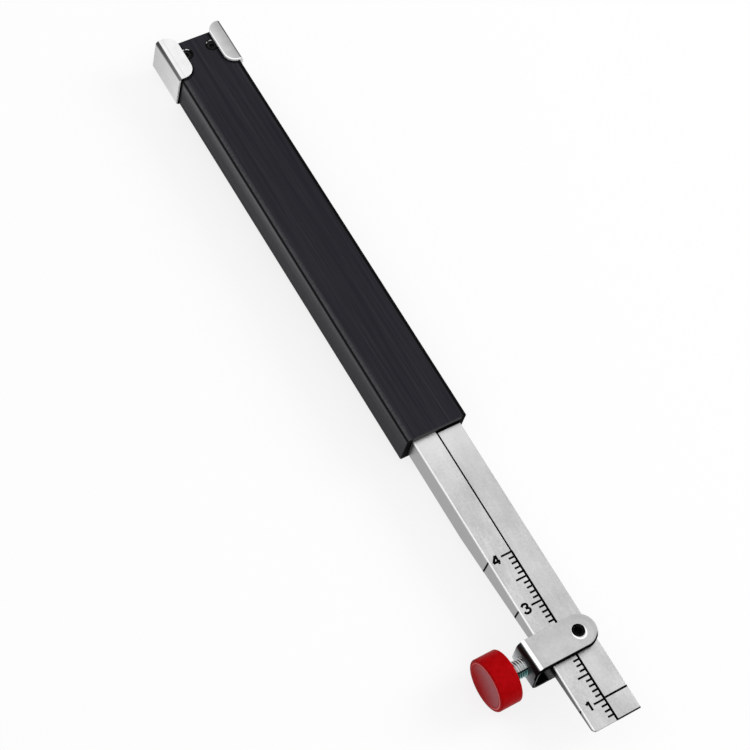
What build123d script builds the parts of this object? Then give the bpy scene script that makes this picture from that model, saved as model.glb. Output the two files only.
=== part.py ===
from build123d import *
import math
import os

# Weld gauge: two steel bars in a black sleeve, a screw clip near their wedge tips, two folded feet.
# Millimetres. The drawing frame has X to the right, Y along the gauge towards the feet and Z out of
# the front. Y is 0 where the wedge would run out to nothing, and Z is 0 on the sleeve's front face.
# At the end everything moves to the middle of the outline, on the surface that the gauge lies on.

# Sleeve
sleeve_width = 12.5
sleeve_depth = 7.4
sleeve_length = 91.6
side_wall = 1.15
face_wall = 1.3
sleeve_edge = 0.35
bore_corner = 0.15
sleeve_end_bevel = 0.12

# Bars
bar_width = 4.8
seam_gap = 0.3
seam_shift = 0.08
bare_length = 59.75
bar_inset = 0.3
scale_bar_fit = 0.03
slide_step = 0.27
slide_fit = 0.1
wedge_slope = 0.1
tip_thickness = 0.585
bar_edge = 0.12
tip_corner = 0.8

# Engraved marks
mark_width = 0.3
mark_depth = 0.05
first_mark = 7
last_mark = 40
mark_pitch = 1.0
long_mark_every = 5
numbered_every = 10
short_mark = 1.15
long_mark = 2.15
index_y = 10.2

# Feet
foot_sheet = 0.5
foot_length = 9.5
foot_overhang = 1.65
right_foot_drop = 0.35
left_tab_width = 3.15
right_tab_width = 2.55
tab_corner = 2.4
left_foot_fit = 0.02
right_foot_fit = 0.1
lug_length = 4.0
lug_height = 3.0
lug_start = 2.4
lug_slot_gap = 0.15

# Set screws in the front wall
set_screw_radius = 0.95
set_screw_hole_fit = 0.02
set_screw_recess = 0.3
set_screw_from_end = 2.9
left_set_screw_x = -2.55
right_set_screw_x = 2.9
socket_flats = 0.9
socket_depth = 0.55
dog_radius = 0.65
dog_end_gap = 0.15
stop_groove_depth = 0.5
stop_groove_fit = 0.12
screw_bar_gap = 0.12
travel = 30.0

# Clip
clip_sheet = 0.8
clip_width = 6.3
clip_y = 21.6
clip_bar_gap = 0.1
clip_fold = 0.9
clip_reach_left = 8.4
clip_reach_right = 5.55
bore_rise = 0.2
pin_x = 2.2
pin_radius = 1.2
pin_bore_radius = 0.75
pin_slit = 0.45
pin_recess = 0.15
pin_fit = 0.02

# Thumb screw and knob
screw_drop = 0.35
screw_radius = 1.7
screw_web_fit = 0.05
screw_tip_gap = 0.02
screw_tip_bevel = 0.4
knob_radius = 4.9
knob_length = 4.4
knob_gap = 3.35
knob_edge = 0.5
knob_dish = 0.12
knob_rim = 0.7
knob_bore_fit = 0.05
knob_bore_depth = 3.2
knob_bore_end_gap = 0.1

# A cutting shape stands this far past the face that it cuts
overshoot = 1.0

# The least straight edge left beside a rounded corner
least_straight = 0.05

# Places that follow from the sizes
tip_y = tip_thickness / wedge_slope
mouth_y = tip_y + bare_length
sleeve_end_y = mouth_y + sleeve_length
bar_end_y = sleeve_end_y - bar_inset
foot_top_y = sleeve_end_y + foot_overhang
foot_bottom_y = foot_top_y - foot_length
half_width = sleeve_width / 2
middle_z = -sleeve_depth / 2

bore_front_z = -face_wall
bore_back_z = face_wall - sleeve_depth
scale_front_z = bore_front_z - scale_bar_fit
scale_back_z = bore_back_z + scale_bar_fit
slide_front_z = scale_front_z - slide_step
slide_back_z = bore_back_z + slide_fit
scale_right_x = seam_shift - seam_gap / 2
scale_left_x = scale_right_x - bar_width
slide_left_x = seam_shift + seam_gap / 2
slide_right_x = slide_left_x + bar_width

set_screw_y = sleeve_end_y - set_screw_from_end
lug_low_y = foot_bottom_y + lug_start

clip_tilt = math.degrees(math.atan(wedge_slope))
clip_middle_z = (scale_front_z + scale_back_z) / 2
clip_half_inside = (scale_front_z - scale_back_z + clip_width * wedge_slope) / 2 + clip_bar_gap
clip_half_outside = clip_half_inside + clip_sheet
clip_low_z = clip_middle_z - clip_half_outside - clip_width * wedge_slope / 2
clip_web_inner_x = clip_sheet - clip_reach_left
axis_y = clip_y + bore_rise
axis_z = clip_middle_z - screw_drop
knob_inner_x = -clip_reach_left - knob_gap
knob_outer_x = knob_inner_x - knob_length

# The outline's middle and lowest point, for the move at the end
outline_right_x = half_width + right_foot_fit + foot_sheet
outline_middle_x = (knob_outer_x + outline_right_x) / 2
outline_middle_y = (tip_y + foot_top_y) / 2
outline_low_z = min(axis_z - knob_radius, -sleeve_depth - right_foot_fit - foot_sheet, clip_low_z)


def extrude_along_y(sketch, low_y, high_y):
    """A section drawn in X and Z, extruded from low_y to high_y."""
    return extrude(Plane.XZ.offset(-high_y) * sketch, amount=high_y - low_y)


def rectangle_between(low_x, high_x, low_z, high_z):
    return Pos((low_x + high_x) / 2, (low_z + high_z) / 2) * Rectangle(high_x - low_x, high_z - low_z)


def box_between(low, high):
    size = [b - a for a, b in zip(low, high)]
    centre = [(a + b) / 2 for a, b in zip(low, high)]
    return Pos(*centre) * Box(*size)


def upright_cylinder(x, y, low_z, high_z, radius):
    return Pos(x, y, (low_z + high_z) / 2) * Cylinder(radius, high_z - low_z)


def cross_cylinder(low_x, high_x, y, z, radius):
    """A cylinder along X."""
    return Pos((low_x + high_x) / 2, y, z) * Rot(0, 90, 0) * Cylinder(radius, high_x - low_x)


def folded_channel(web_x, open_x, low_z, high_z, sheet, fold, low_y, high_y):
    """Sheet folded to a U that opens to the right. low_z and high_z are its inside faces, web_x is
    the web's inside face, open_x is the free edge and fold is the inside radius."""
    outside = rectangle_between(web_x - sheet, open_x, low_z - sheet, high_z + sheet)
    outside = fillet(outside.vertices().group_by(Axis.X)[0], fold + sheet)
    inside = rectangle_between(web_x, open_x + sheet, low_z, high_z)
    inside = fillet(inside.vertices().group_by(Axis.X)[0], fold)
    return extrude_along_y(outside - inside, low_y, high_y)


def side_slot(side_x, inner_x):
    """The open slot in a side wall that a foot's lug passes through."""
    half = lug_height / 2 + lug_slot_gap
    low_x = min(side_x, inner_x) - lug_slot_gap
    high_x = max(side_x, inner_x) + lug_slot_gap
    low = (low_x, lug_low_y - lug_slot_gap, middle_z - half)
    high = (high_x, sleeve_end_y + lug_slot_gap, middle_z + half)
    return box_between(low, high)


def make_sleeve():
    outside = rectangle_between(-half_width, half_width, -sleeve_depth, 0)
    tube = extrude_along_y(fillet(outside.vertices(), sleeve_edge), mouth_y, sleeve_end_y)
    ends = tube.faces().sort_by(Axis.Y)
    tube = chamfer(ends[0].edges() + ends[-1].edges(), sleeve_end_bevel)
    bore_half = half_width - side_wall
    bore = rectangle_between(-bore_half, bore_half, bore_back_z, bore_front_z)
    bore = fillet(bore.vertices(), bore_corner)
    tube -= extrude_along_y(bore, mouth_y - overshoot, sleeve_end_y + overshoot)
    tube -= side_slot(-half_width, -bore_half)
    tube -= side_slot(half_width, bore_half)
    hole_radius = set_screw_radius + set_screw_hole_fit
    for x in (left_set_screw_x, right_set_screw_x):
        tube -= upright_cylinder(x, set_screw_y, bore_front_z - overshoot, overshoot, hole_radius)
    return tube


def wedge_bar(left_x, right_x, front_z, back_z):
    """A bar whose back slopes so that its thickness is wedge_slope times Y, up to its full depth."""
    full_y = (front_z - back_z) / wedge_slope
    side = make_face(Polyline(
        (tip_y, front_z), (bar_end_y, front_z), (bar_end_y, back_z),
        (full_y, back_z), (tip_y, front_z - tip_thickness), close=True))
    bar = extrude(Plane.YZ.offset(left_x) * side, amount=right_x - left_x)
    front = bar.faces().sort_by(Axis.Z)[-1]
    long_edges = front.edges().filter_by(Axis.Y)
    return chamfer(long_edges, bar_edge)


def engraved_line(low_x, high_x, y, front_z):
    half = mark_width / 2
    return box_between((low_x, y - half, front_z - mark_depth), (high_x, y + half, front_z + mark_depth))


def make_scale_bar():
    bar = wedge_bar(scale_left_x, scale_right_x, scale_front_z, scale_back_z)
    tip_edges = bar.edges().filter_by(Axis.Z).group_by(Axis.Y)[0]
    bar = fillet(tip_edges.sort_by(Axis.X)[0], tip_corner)
    lines = []
    for number in range(first_mark, last_mark + 1):
        length = short_mark if number % long_mark_every else long_mark
        y = number * mark_pitch
        lines.append(engraved_line(scale_right_x - length, scale_right_x + overshoot, y, scale_front_z))
        if number % numbered_every == 0:
            lines.append(side_mark(y))
    return bar - lines


def side_mark(y):
    """The mark on the bar's outer side that carries a numbered line on."""
    half = mark_width / 2
    low = (scale_left_x - mark_depth, y - half, scale_front_z - y)
    high = (scale_left_x + mark_depth, y + half, scale_front_z + mark_depth)
    return box_between(low, high)


def make_sliding_bar():
    bar = wedge_bar(slide_left_x, slide_right_x, slide_front_z, slide_back_z)
    for y in (index_y, tip_y):
        bar -= engraved_line(slide_left_x - overshoot, slide_right_x + overshoot, y, slide_front_z)
    groove_half = dog_radius + stop_groove_fit
    low = (right_set_screw_x - groove_half, set_screw_y - travel, slide_front_z - stop_groove_depth)
    high = (right_set_screw_x + groove_half, set_screw_y, slide_front_z + stop_groove_depth)
    bar -= box_between(low, high)
    for y in (low[1], high[1]):
        bar -= upright_cylinder(right_set_screw_x, y, low[2], high[2], groove_half)
    return bar - pin_hole()


def place_on_clip(shape):
    """Moves a shape drawn about the clip's middle to its place. The clip leans as the wedge's back does,
    and is deep enough inside to pass over the bars' full thickness at the end of the travel."""
    return Pos(0, clip_y, clip_middle_z) * Rot(-clip_tilt, 0, 0) * shape


def pin_hole():
    reach = clip_half_outside + overshoot
    return place_on_clip(upright_cylinder(pin_x, bore_rise, -reach, reach, pin_radius + pin_fit))


def make_foot(tab_width, fit):
    """The left foot. The right one is a mirror image with its own tab and a looser fit."""
    fold = sleeve_edge + fit
    foot = folded_channel(
        -half_width - fit, tab_width - half_width, -sleeve_depth - fit, fit,
        foot_sheet, fold, foot_bottom_y, foot_top_y)
    tab_corners = foot.edges().filter_by(Axis.Z).group_by(Axis.X)[-1]
    flat_width = tab_width + fit - fold
    return fillet(tab_corners, min(tab_corner, flat_width - least_straight))


def make_lug(bar_x, foot_x):
    low = (min(bar_x, foot_x), lug_low_y, middle_z - lug_height / 2)
    high = (max(bar_x, foot_x), lug_low_y + lug_length, middle_z + lug_height / 2)
    return box_between(low, high)


def make_set_screw(x, end_z):
    screw = upright_cylinder(x, set_screw_y, end_z, -set_screw_recess, set_screw_radius)
    socket = RegularPolygon(socket_flats / 2, 6, major_radius=False)
    floor = Plane((x, set_screw_y, -set_screw_recess - socket_depth))
    return screw - extrude(floor * socket, amount=socket_depth + overshoot)


def make_stop_screw():
    screw = make_set_screw(right_set_screw_x, slide_front_z + screw_bar_gap)
    dog_end_z = slide_front_z - stop_groove_depth + dog_end_gap
    top_z = -set_screw_recess - socket_depth
    return screw + upright_cylinder(right_set_screw_x, set_screw_y, dog_end_z, top_z, dog_radius)


def make_clip():
    half_width_of_clip = clip_width / 2
    clip = folded_channel(
        clip_web_inner_x, clip_reach_right, -clip_half_inside, clip_half_inside,
        clip_sheet, clip_fold, -half_width_of_clip, half_width_of_clip)
    round_end = clip.edges().filter_by(Axis.Z).group_by(Axis.X)[-1]
    clip = fillet(round_end, half_width_of_clip - least_straight)
    clip = place_on_clip(clip) - pin_hole()
    low_x = -clip_reach_left - overshoot
    high_x = clip_web_inner_x + overshoot
    return clip - cross_cylinder(low_x, high_x, axis_y, axis_z, screw_radius + screw_web_fit)


def make_clip_pin():
    """A rolled spring pin: a slit tube."""
    half = clip_half_outside - pin_recess
    cut = half + overshoot
    pin = upright_cylinder(pin_x, bore_rise, -half, half, pin_radius)
    pin -= upright_cylinder(pin_x, bore_rise, -cut, cut, pin_bore_radius)
    slit_low = (pin_x - pin_slit / 2, bore_rise, -cut)
    slit_high = (pin_x + pin_slit / 2, bore_rise + pin_radius + overshoot, cut)
    return place_on_clip(pin - box_between(slit_low, slit_high))


def make_thumb_screw():
    tip_x = scale_left_x - screw_tip_gap
    head_x = knob_inner_x - knob_bore_depth + knob_bore_end_gap
    screw = cross_cylinder(head_x, tip_x, axis_y, axis_z, screw_radius)
    tip = screw.faces().sort_by(Axis.X)[-1]
    return chamfer(tip.edges(), screw_tip_bevel)


def make_knob():
    """Turned about the screw's axis: dished outer face, rounded rims, blind bore for the screw."""
    dish_rim = knob_radius - knob_rim
    bore = screw_radius + knob_bore_fit
    bore_end = knob_length - knob_bore_depth
    profile = make_face([
        Polyline((dish_rim, 0), (knob_radius, 0), (knob_radius, knob_length), (bore, knob_length),
                 (bore, bore_end), (0, bore_end), (0, knob_dish)),
        ThreePointArc((0, knob_dish), dish_point(dish_rim), (dish_rim, 0))])
    rims = profile.vertices().group_by(Axis.X)[-1]
    turned = revolve(Plane.XZ * fillet(rims, knob_edge), Axis.Z)
    return Pos(knob_outer_x, axis_y, axis_z) * Rot(0, 90, 0) * turned


def dish_point(rim):
    """A point halfway out on the dish's arc, which is level at the middle and knob_dish deep."""
    arc_radius = (rim ** 2 + knob_dish ** 2) / (2 * knob_dish)
    half = rim / 2
    return half, knob_dish - arc_radius + math.sqrt(arc_radius ** 2 - half ** 2)


def mirrored(part):
    return mirror(part, about=Plane.YZ)


right_foot = Pos(0, -right_foot_drop, 0) * mirrored(make_foot(right_tab_width, right_foot_fit))

nodes = {
    "sleeve": make_sleeve(),
    "scale_bar": make_scale_bar(),
    "sliding_bar": make_sliding_bar(),
    "left_foot": make_foot(left_tab_width, left_foot_fit),
    "right_foot": right_foot,
    "left_foot_lug": make_lug(scale_left_x, -half_width - left_foot_fit),
    "right_foot_lug": make_lug(slide_right_x, half_width + right_foot_fit),
    "left_set_screw": make_set_screw(left_set_screw_x, scale_front_z),
    "right_stop_screw": make_stop_screw(),
    "clamp_clip": make_clip(),
    "clip_pin": make_clip_pin(),
    "thumb_screw": make_thumb_screw(),
    "thumb_knob": make_knob(),
}

os.makedirs("parts", exist_ok=True)
to_row_frame = Pos(-outline_middle_x, -outline_middle_y, -outline_low_z)
for name, solid in nodes.items():
    export_step(to_row_frame * solid, f"parts/{name}.step")
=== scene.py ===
import math

import bmesh
import bpy
from mathutils import Matrix, Vector


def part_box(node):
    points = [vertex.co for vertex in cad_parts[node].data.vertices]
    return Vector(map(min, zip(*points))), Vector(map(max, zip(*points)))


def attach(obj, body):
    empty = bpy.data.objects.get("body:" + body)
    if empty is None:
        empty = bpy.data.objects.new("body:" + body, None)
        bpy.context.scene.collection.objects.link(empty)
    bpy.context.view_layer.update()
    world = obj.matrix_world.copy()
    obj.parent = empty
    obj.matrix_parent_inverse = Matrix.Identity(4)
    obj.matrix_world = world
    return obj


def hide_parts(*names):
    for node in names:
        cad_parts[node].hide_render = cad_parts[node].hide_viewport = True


# Metres, in the frame of the solids. MM turns the sizes below, in millimetres, into metres.
MM = 0.001

# The camera, found from edges and marks of the gauge in the photograph
CAMERA_PLACE = Vector((-137.82, -122.89, 338.45)) * MM
CAMERA_RIGHT = Vector((0.84737, -0.50273, 0.17096))
CAMERA_UP = Vector((0.38514, 0.80351, 0.45392))
FOCAL_PIXELS = 2116
IMAGE_PIXELS = 750
SENSOR = 36.0
NEAREST_SEEN = 0.01
FURTHEST_SEEN = 20.0

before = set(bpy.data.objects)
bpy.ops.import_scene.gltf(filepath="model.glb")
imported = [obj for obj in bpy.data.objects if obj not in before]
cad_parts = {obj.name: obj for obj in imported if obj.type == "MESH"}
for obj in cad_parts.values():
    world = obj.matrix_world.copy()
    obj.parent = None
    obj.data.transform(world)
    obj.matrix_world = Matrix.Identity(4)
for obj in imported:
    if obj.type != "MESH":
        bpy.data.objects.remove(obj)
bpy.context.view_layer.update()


# Places that the materials refer to, in the frame of the solids

sleeve_low, sleeve_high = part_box("sleeve")
scale_low, scale_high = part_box("scale_bar")
slide_low, slide_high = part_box("sliding_bar")
foot_low, foot_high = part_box("left_foot")
right_foot_low, right_foot_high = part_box("right_foot")
clip_low, clip_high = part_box("clamp_clip")
screw_low, screw_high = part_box("thumb_screw")
knob_low, knob_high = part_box("thumb_knob")
pin_low, pin_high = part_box("clip_pin")
sleeve_middle = (sleeve_low + sleeve_high) / 2
clip_middle = (clip_low + clip_high) / 2
screw_middle = (screw_low + screw_high) / 2
knob_middle = (knob_low + knob_high) / 2
pin_middle = (pin_low + pin_high) / 2
screw_crest = (screw_high.z - screw_low.z) / 2
knob_radius = (knob_high.z - knob_low.z) / 2
pin_radius = (pin_high.x - pin_low.x) / 2

SET_SCREWS = ("left_set_screw", "right_stop_screw")

# The scale counts tenths of its figures, one each millimetre. The bars' tips lie at 5.85.
TIP_READING = 5.85
FIRST_MARK = 7
LAST_MARK = 40
INDEX_READING = 10.2
LONG_MARK_EVERY = 5
FIGURE_EVERY = 10

zero_y = scale_low.y - TIP_READING * MM
last_mark_y = zero_y + LAST_MARK * MM

# The knob's rounded edges, and the dish in its outer face within a flat rim
KNOB_SIDES = 128
KNOB_EDGE = 0.3
KNOB_EDGE_STEPS = 6
KNOB_DISH = 0.3
KNOB_DISH_STEPS = 8
KNOB_RIM = 0.7
KNOB_BORE_SHARE = 1.05

# The folded sheet of the feet and the clip
TAB_CORNER = 2.4
CLIP_LEAN = 0.1
CLIP_SHEET = 0.8
CLIP_WIDTH = 6.3
CLIP_FOLD = 0.9

# How far the finishes and the painted light and shade reach, in millimetres. The painted shade in the
# sleeve's mouth and TAB_SHADE run from where they fade out to where they are full. The rings round the
# set screws run from inner to outer, off the screws' edges.
BRIGHT_BELOW_SLEEVE = 12
DARK_ABOVE_TIPS = 5
MOUTH_SLANT = 0.35
MOUTH_PAINTED_SHADE = (6, 4)
FLANK_EDGE = 0.8
TAB_SHADE = (0.6, 0.2)
STREAKS_RISE = 55
WALL_END_BY_SCALE = 1.2
WALL_END_BY_SLIDE = 0.85
SCREW_HOLE_BLACK = (-0.3, 0.35)
SCREW_HOLE_GLINT = (0.02, 0.16)

# How squarely a face looks along an axis, from where it isn't counted to where it fully is
FRONTWARD = (0.6, 0.9)
TIPWARD = (-0.6, -0.9)
SHEARED = (-0.5, -0.7)

# The usual range of a noise, from its dark to its light parts, and the narrower one for a tint
USUAL = (0.3, 0.7)
TINTED = (0.35, 0.7)

BUMP_DEPTH = 0.004 * MM
BEVEL_SAMPLES = 6
# The product of the flat and the rounded normal where an edge counts in full
EDGE_PRODUCT = 0.85


def colour(red, green, blue):
    return red, green, blue, 1.0


def grey(level):
    """A level of steel grey, a trace bluer than neutral."""
    return level, level, level * 1.01, 1.0


def even(per_metre):
    """The same noise scale along all three axes."""
    return per_metre, per_metre, per_metre


# Colours of the finishes, many of them painted light and shade. A pair is the two ends of a blend,
# and plain numbers are levels of grey.

STEEL_WHITE = grey(1.0)
STEEL_DULL = grey(0.42)
# The metal's black parts are painted shade. They aren't metallic, so that they stay black where they are
# seen at a slant
STEEL_BLACK = grey(0.003)

# Bar steel. The grey by the sleeve is painted light, the sides' and tips' greys painted shade, the left
# edge's a painted highlight.
BAR_FRONT = (0.41, 0.67)
BAR_BY_SLEEVE = grey(0.79)
BAR_LEFT_EDGE_HIGHLIGHT = grey(0.96)
BAR_SIDE = (0.34, 0.41)
BAR_SIDE_BY_TIP = (0.16, 0.03)
BAR_TIP = (0.08, 0.01)

# Feet. The tabs', sides' and folds' greys are painted light and shade, as light falls on each face.
LEFT_TAB = (0.84, 0.92)
RIGHT_TAB_INNER = (0.60, 0.70)
RIGHT_TAB_OUTER = (0.38, 0.46)
TAB_CREASE = grey(0.6)
FOOT_SIDE_AT_END = (0.46, 0.55)
FOOT_SIDE_BELOW = (0.66, 0.78)
FOOT_FOLDED = (0.015, 0.13)

# Clip. The bright fold and the fold line are painted highlights, the web's greys painted reflection and
# shade.
CLIP_FLAT = (0.47, 0.58)
CLIP_BRIGHT_FOLD = grey(0.99)
CLIP_FOLD_LINE = grey(0.20)
WEB_LOW = (colour(0.12, 0.14, 0.15), colour(0.17, 0.19, 0.20))
WEB_HIGH = (colour(0.68, 0.76, 0.78), colour(0.76, 0.84, 0.86))
WEB_FRONT_LOW = grey(0.012)
WEB_FRONT_HIGH = grey(0.025)

# Sleeve. The side's sheen, the wall end's pale grey, the black and the holes' light are painted light and
# shade.
ANODISED = (colour(0.015, 0.014, 0.019), colour(0.038, 0.037, 0.044))
ANODISED_SIDE_SHEEN = colour(0.19, 0.19, 0.195)
ANODISED_EDGE_WEAR_GLINT = colour(0.08, 0.08, 0.085)
ANODISED_STRIP = colour(0.062, 0.061, 0.066)
ANODISED_BLACK = grey(0.0005)
WALL_END = (0.001, 0.075)
SCREW_HOLE_LIGHT = grey(0.9)

PIN_STEEL = (0.001, 0.004)
SCREW_STEEL = (0.008, 0.03)
# Wear on the screws' edges, with painted glints on it
BLACK_STEEL_WEAR_GLINT = colour(0.30, 0.30, 0.31)

# Thread: a painted highlight above, a painted blue-green reflection below, and painted shade in the roots
ZINC_HIGHLIGHT = (colour(0.86, 0.98, 0.99), colour(0.93, 1.0, 1.0))
ZINC_TEAL_REFLECTION = (colour(0.10, 0.32, 0.30), colour(0.26, 0.52, 0.50))
ZINC_ROOT_SHADE = colour(0.004, 0.010, 0.010)

RED = (colour(0.35, 0.0010, 0.0024), colour(0.43, 0.0024, 0.0044))
# Knob: painted shade on its edges, scuffs with a painted sheen on the face, a painted highlight on the rim
RED_SHADED = colour(0.12, 0.0, 0.002)
RED_SCUFF_AND_SHEEN = colour(0.36, 0.115, 0.13)
RED_RIM_HIGHLIGHT = colour(0.80, 0.24, 0.25)

INK = (colour(0.001, 0.001, 0.001), colour(0.004, 0.004, 0.004))


# Nodes of a material

class Nodes:
    """A material's or world's node tree, with one method for each step that the materials share."""

    def __init__(self, tree):
        self.tree = tree
        self.coordinates = None

    def add(self, kind, inputs=None, **settings):
        node = self.tree.nodes.new(kind)
        for name, value in settings.items():
            setattr(node, name, value)
        self.dress(node, inputs or {})
        return node

    def give(self, socket, value):
        if isinstance(value, bpy.types.NodeSocket):
            self.tree.links.new(value, socket)
        else:
            socket.default_value = value

    def dress(self, node, inputs):
        """Gives a node's inputs their values, by name."""
        for name, value in inputs.items():
            self.give(node.inputs[name], value)

    def coordinate(self, kind):
        if self.coordinates is None:
            self.coordinates = self.add("ShaderNodeTexCoord")
        return self.coordinates.outputs[kind]

    def part_of(self, vector, axis):
        return self.add("ShaderNodeSeparateXYZ", {"Vector": vector}).outputs[axis]

    def along(self, axis):
        """How far along one of the object's axes a point lies, in metres."""
        return self.part_of(self.coordinate("Object"), axis)

    def facing(self, axis):
        """How squarely the surface faces along one of the object's axes, from -1 to 1."""
        return self.part_of(self.coordinate("Normal"), axis)

    def faces(self, axis, limits):
        """1 on faces that look along an axis, fading out between the two limits of facing."""
        return self.remap(self.facing(axis), *limits)

    def noise(self, per_metre, detail=3.0, roughness=0.55):
        """Noise over object coordinates, with a scale for each axis."""
        inputs = {"Vector": self.coordinate("Object"), "Scale": per_metre}
        scaled = self.add("ShaderNodeMapping", inputs).outputs["Vector"]
        inputs = {"Vector": scaled, "Scale": 1.0, "Detail": detail, "Roughness": roughness}
        return self.add("ShaderNodeTexNoise", inputs).outputs["Fac"]

    def remap(self, value, low, high, new_low=0.0, new_high=1.0):
        inputs = {"Value": value, "From Min": low, "From Max": high, "To Min": new_low, "To Max": new_high}
        return self.add("ShaderNodeMapRange", inputs, clamp=True).outputs["Result"]

    def math(self, operation, first, second=0.0):
        node = self.add("ShaderNodeMath", operation=operation)
        self.give(node.inputs[0], first)
        self.give(node.inputs[1], second)
        return node.outputs["Value"]

    def plus(self, first, second):
        return self.math("ADD", first, second)

    def minus(self, first, second):
        return self.math("SUBTRACT", first, second)

    def both(self, first, second):
        return self.math("MULTIPLY", first, second)

    def unsigned(self, value):
        return self.math("ABSOLUTE", value)

    def length(self, first, second):
        """The length of a line from its parts along two axes."""
        return self.math("SQRT", self.plus(self.both(first, first), self.both(second, second)))

    def most(self, *values):
        """The largest of several values."""
        top = values[0]
        for value in values[1:]:
            top = self.math("MAXIMUM", top, value)
        return top

    def without(self, value):
        """1 minus the value."""
        return self.minus(1.0, value)

    def between(self, value, low, high, soft):
        """1 where a value lies between low and high, fading out over soft beyond them."""
        return self.both(self.remap(value, low - soft, low), self.remap(value, high + soft, high))

    def tint(self, noise):
        """A noise as the blend between a finish's two colours."""
        return self.remap(noise, *TINTED)

    def layers(self, *pairs):
        """Several noises added up, each with its share."""
        total = None
        for noise, share in pairs:
            part = self.remap(noise, *USUAL, 0.0, share)
            total = part if total is None else self.plus(total, part)
        return total

    def mix(self, factor, first, second):
        node = self.add("ShaderNodeMix", data_type="RGBA")
        self.give(node.inputs["Factor"], factor)
        self.give(node.inputs[6], first)
        self.give(node.inputs[7], second)
        return node.outputs[2]

    def greys(self, factor, first, second):
        return self.mix(factor, grey(first), grey(second))

    def beyond(self, axis, place, sign):
        """How far a point lies past a place on an axis, in the direction of the sign, or else 0."""
        return self.most(self.both(self.minus(self.along(axis), place), sign), 0.0)

    def distance(self, axes, middle):
        """How far a point lies from a line through the middle that runs along the third axis."""
        return self.length(*[self.minus(self.along(axis), getattr(middle, axis.lower())) for axis in axes])

    def soft_edges(self, radius):
        """The normal with sharp edges rounded off."""
        return self.add("ShaderNodeBevel", {"Radius": radius}, samples=BEVEL_SAMPLES).outputs["Normal"]

    def edge_mask(self, radius):
        """About 1 on outer edges and 0 on flat faces."""
        geometry = self.add("ShaderNodeNewGeometry")
        dot = self.add("ShaderNodeVectorMath", operation="DOT_PRODUCT")
        self.give(dot.inputs[0], self.soft_edges(radius))
        self.give(dot.inputs[1], geometry.outputs["True Normal"])
        return self.remap(dot.outputs["Value"], 1.0, EDGE_PRODUCT)

    def bump(self, height, strength, edge_radius, depth=BUMP_DEPTH):
        """The normal with fine relief on it and with soft edges."""
        inputs = {"Height": height, "Strength": strength, "Distance": depth,
                  "Normal": self.soft_edges(edge_radius)}
        return self.add("ShaderNodeBump", inputs).outputs["Normal"]


def new_nodes(owner):
    """An empty node tree in a material or world."""
    owner.use_nodes = True
    owner.node_tree.nodes.clear()
    return Nodes(owner.node_tree)


def principled(name, specular_level):
    """A new material whose specular level stands on the shader's own socket, and its nodes."""
    material = bpy.data.materials.new(name)
    nodes = new_nodes(material)
    shader = nodes.add("ShaderNodeBsdfPrincipled", {"Specular IOR Level": specular_level})
    nodes.add("ShaderNodeOutputMaterial", {"Surface": shader.outputs["BSDF"]})
    return material, nodes, shader


def bar_material():
    """Ground stainless steel: fine mottle, faint lengthwise grain, a painted edge highlight and painted
    seam shade.
    """
    material, nodes, shader = principled("bar_steel", 0.0)
    mottle = nodes.noise(even(2600.0), detail=3.0, roughness=0.6)
    grain = nodes.noise((6500.0, 260.0, 6500.0), detail=3.0)
    clouds = nodes.noise((260.0, 120.0, 260.0), detail=3.0)
    shade = nodes.layers((mottle, 0.3), (grain, 0.25), (clouds, 0.45))
    black = bar_painted_shade(nodes)
    fine_satin = nodes.remap(mottle, *USUAL, 0.30, 0.38)
    broad_satin = nodes.remap(clouds, *USUAL, -0.03, 0.04)
    nodes.dress(shader, {
        "Base Color": nodes.mix(black, bar_shades(nodes, shade), STEEL_BLACK),
        "Metallic": nodes.without(black),
        "Roughness": nodes.plus(nodes.plus(fine_satin, broad_satin), nodes.both(black, 0.3)),
        "Normal": nodes.bump(nodes.layers((grain, 0.5), (mottle, 0.5)), 0.12, 0.05 * MM),
    })
    return material


def bar_shades(nodes, shade):
    """Painted light by the sleeve, painted shade down the sides, darker tips, a painted highlight on the
    scale's left edge.
    """
    x = nodes.along("X")
    y = nodes.along("Y")
    front_face = nodes.faces("Z", FRONTWARD)
    by_sleeve = nodes.remap(y, sleeve_low.y - BRIGHT_BELOW_SLEEVE * MM, sleeve_low.y, 0.0, 0.6)
    by_tips = nodes.remap(y, scale_low.y + DARK_ABOVE_TIPS * MM, scale_low.y, 0.0, 0.45)
    on_slide = nodes.remap(x, scale_high.x, slide_low.x, 0.0, 0.25)
    right_edge = nodes.both(front_face, nodes.remap(x, slide_high.x - 0.22 * MM, slide_high.x - 0.14 * MM))
    left_edge_highlight = nodes.both(front_face, nodes.remap(x, scale_low.x + 0.34 * MM, scale_low.x + 0.24 * MM))
    front = nodes.mix(on_slide, nodes.greys(shade, *BAR_FRONT), STEEL_DULL)
    front = nodes.mix(by_sleeve, front, BAR_BY_SLEEVE)
    front = nodes.mix(by_tips, front, STEEL_DULL)
    front = nodes.mix(nodes.both(right_edge, 0.6), front, STEEL_DULL)
    # The side below the clip is painted dark, as the shadow of the clip and the knob
    tip_side = nodes.greys(nodes.remap(y, scale_low.y, clip_low.y), *BAR_SIDE_BY_TIP)
    past_clip = nodes.remap(y, clip_low.y, clip_high.y)
    side = nodes.mix(past_clip, tip_side, nodes.greys(shade, *BAR_SIDE))
    base = nodes.mix(nodes.faces("X", (-0.75, -0.95)), front, side)
    base = nodes.mix(nodes.both(left_edge_highlight, 0.85), base, BAR_LEFT_EDGE_HIGHLIGHT)
    # The tips' end faces are painted dark, as shade
    end = nodes.greys(nodes.remap(x, scale_low.x, slide_high.x), *BAR_TIP)
    return nodes.mix(nodes.faces("Y", TIPWARD), base, end)


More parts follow.
